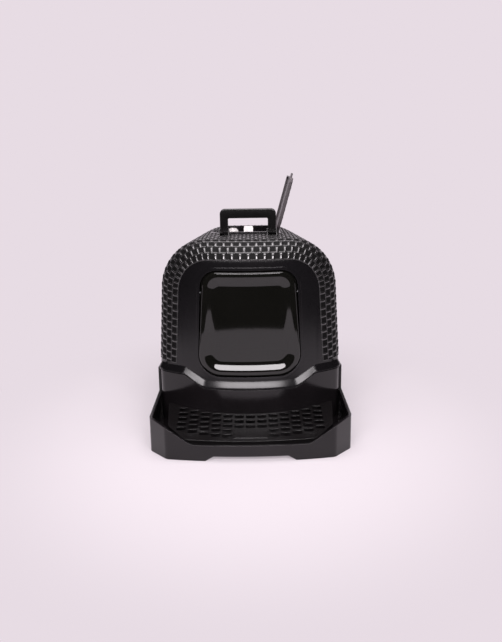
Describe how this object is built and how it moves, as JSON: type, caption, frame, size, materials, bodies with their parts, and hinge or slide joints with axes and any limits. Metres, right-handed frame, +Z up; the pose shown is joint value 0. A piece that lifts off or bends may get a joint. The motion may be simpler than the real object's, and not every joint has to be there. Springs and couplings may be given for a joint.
{
  "type": "drawer litter box",
  "caption": "Hooded cat litter box with a pull-out litter drawer and step, swinging see-through door flap, carrying handle and lidded storage bin in the top.",
  "frame": {"origin": "on the floor under the middle of the box's overall width and depth", "axes": "+Z up, the entrance faces -Y, +X to the right seen from the rear-facing viewer"},
  "size_m": [0.41, 0.5499, 0.544],
  "materials": {
    "black_shell": "satin",
    "drawer_shell": "satin",
    "mat": "matte",
    "hood_shell": "satin, fine woven relief",
    "bin": "matte",
    "smoked_door": "smoked, glossy",
    "pins": "satin",
    "handle": "satin",
    "screws": "satin",
    "lid": "satin",
    "white_plastic": "satin",
    "core": "porous"
  },
  "bodies": {
    "base": {"base_frame": "black_shell"},
    "litter_drawer": {"drawer": "drawer_shell"},
    "mat": {"step_mat": "mat"},
    "hood": {"hood_shell": "hood_shell", "storage_bin": "bin", "handle_pin_left": "pins", "handle_pin_right": "pins", "handle_bracket_left": "handle", "handle_bracket_right": "handle", "bracket_screws": "screws", "lid_pin_front": "pins", "lid_pin_rear": "pins", "litter_scoop": "white_plastic", "deodoriser_cup": "white_plastic", "deodoriser_cap": "white_plastic", "deodoriser_core": "core"},
    "flap": {"door_flap": "smoked_door", "flap_pin_left": "pins", "flap_pin_right": "pins"},
    "handle": {"carry_handle": "handle"},
    "lid": {"top_lid": "lid"}
  },
  "joints": [
    {"name": "drawer_slide", "type": "slide", "parent": "base", "child": "litter_drawer", "axis": [0, -1, 0], "range_m": [0, 0.3]},
    {"name": "mat_lift", "type": "slide", "parent": "litter_drawer", "child": "mat", "axis": [0, 0, 1], "range_m": [0, 0.045]},
    {"name": "hood_lift", "type": "slide", "parent": "base", "child": "hood", "axis": [0, 0, 1], "range_m": [0, 0.3]},
    {"name": "flap_swing", "type": "hinge", "parent": "hood", "child": "flap", "pos_m": [0, -0.1065, 0.307], "axis": [1, 0, 0], "range_deg": [-75, 75]},
    {"name": "handle_fold", "type": "hinge", "parent": "hood", "child": "handle", "pos_m": [0, -0.006, 0.4226], "axis": [1, 0, 0], "range_deg": [0, 88]},
    {"name": "lid_turn", "type": "hinge", "parent": "hood", "child": "lid", "pos_m": [0.0652, 0.0875, 0.419], "axis": [0, -1, 0], "range_deg": [0, 105.6]}
  ]
}
